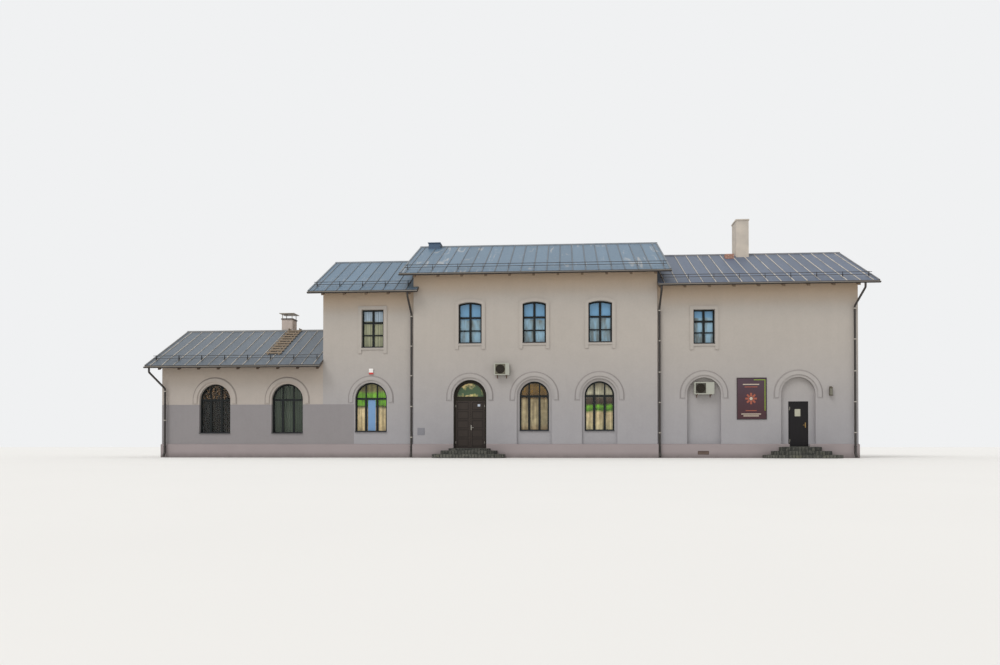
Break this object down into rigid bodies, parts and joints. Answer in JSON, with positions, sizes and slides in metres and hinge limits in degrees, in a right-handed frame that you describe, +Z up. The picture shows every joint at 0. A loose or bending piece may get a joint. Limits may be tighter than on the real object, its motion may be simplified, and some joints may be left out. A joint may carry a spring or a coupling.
{
  "type": "railway station building",
  "caption": "Plastered railway station building with stepped blocks, arched windows, standing-seam gable roofs, chimneys and hinged entrance doors.",
  "frame": {"origin": "on the ground under the ridge of the entrance block, halfway along the building", "axes": "+X along the street front towards the right block, +Z up, the street front faces -Y"},
  "size_m": [35.34, 13.124, 12.6],
  "materials": {
    "plaster": "matt painted lime plaster",
    "trim_plaster": "smooth painted plaster",
    "plinth_stone": "painted render",
    "floor_slab": "trowelled screed",
    "roof_metal": "standing-seam sheet, satin",
    "dark_metal": "painted sheet, satin",
    "roof_timber": "dark stained",
    "ladder_timber": "weathered",
    "window_timber": "painted dark green, satin",
    "door_timber": "varnished dark brown",
    "steel_door": "painted, satin",
    "glazing": "clear float glass",
    "handle_metal": "brushed",
    "step_stone": "rough cobble",
    "chimney_brick": "rough brick and plaster",
    "white_plastic": "moulded",
    "white_metal": "painted casing",
    "sign_metal": "enamelled, satin"
  },
  "bodies": {
    "building": {"a_chimney": "chimney_brick", "a_chimney_cover": "roof_metal", "a_front_wall": "plaster", "a_gable_wall": "plaster", "a_rear_wall": "plaster", "a_roof": "roof_metal", "ac_brackets": "white_metal", "ac_units": "white_metal", "alarm_box": "white_plastic", "arch_hoods": "trim_plaster", "b_front_wall": "plaster", "b_gable_wall": "plaster", "b_rear_wall": "plaster", "b_roof": "roof_metal", "c_front_wall_left": "plaster", "c_front_wall_over_door": "plaster", "c_front_wall_right": "plaster", "c_left_gable_wall": "plaster", "c_rear_wall": "plaster", "c_right_gable_wall": "plaster", "c_roof": "roof_metal", "d_chimneys": "chimney_brick", "d_front_wall_left": "plaster", "d_front_wall_over_door": "plaster", "d_front_wall_right": "plaster", "d_gable_wall": "plaster", "d_rear_wall": "plaster", "d_roof": "roof_metal", "downpipes": "dark_metal", "eave_timbers": "roof_timber", "fanlight_glass": "glazing", "ground_floor": "floor_slab", "ground_window_frames": "window_timber", "ground_window_glass": "glazing", "gutters": "dark_metal", "main_door_frame": "door_timber", "main_steps": "step_stone", "plinth": "plinth_stone", "ridge_vent": "roof_metal", "roof_ladder": "ladder_timber", "side_door_frame": "steel_door", "side_steps": "step_stone", "sign_board": "sign_metal", "snow_guards": "dark_metal", "upper_floor": "floor_slab", "upper_window_frames": "window_timber", "upper_window_glass": "glazing", "vent_and_hatch_covers": "dark_metal", "wall_lamp": "dark_metal", "window_sills": "dark_metal", "window_surrounds": "trim_plaster"},
    "main_left_leaf": {"main_door_left_leaf": "door_timber"},
    "main_right_leaf": {"main_door_right_leaf": "door_timber", "main_door_handle": "handle_metal"},
    "side_leaf": {"side_door_leaf": "steel_door", "side_door_handle": "handle_metal"}
  },
  "joints": [
    {"name": "main_left_leaf_hinge", "type": "hinge", "parent": "building", "child": "main_left_leaf", "pos_m": [-2.147, -5.32, 1.63], "axis": [0, 0, -1], "range_deg": [0, 90]},
    {"name": "main_right_leaf_hinge", "type": "hinge", "parent": "building", "child": "main_right_leaf", "pos_m": [-0.713, -5.32, 1.63], "axis": [0, 0, 1], "range_deg": [0, 90]},
    {"name": "side_leaf_hinge", "type": "hinge", "parent": "building", "child": "side_leaf", "pos_m": [13.838, -5.112, 1.61], "axis": [0, 0, -1], "range_deg": [0, 90]}
  ]
}
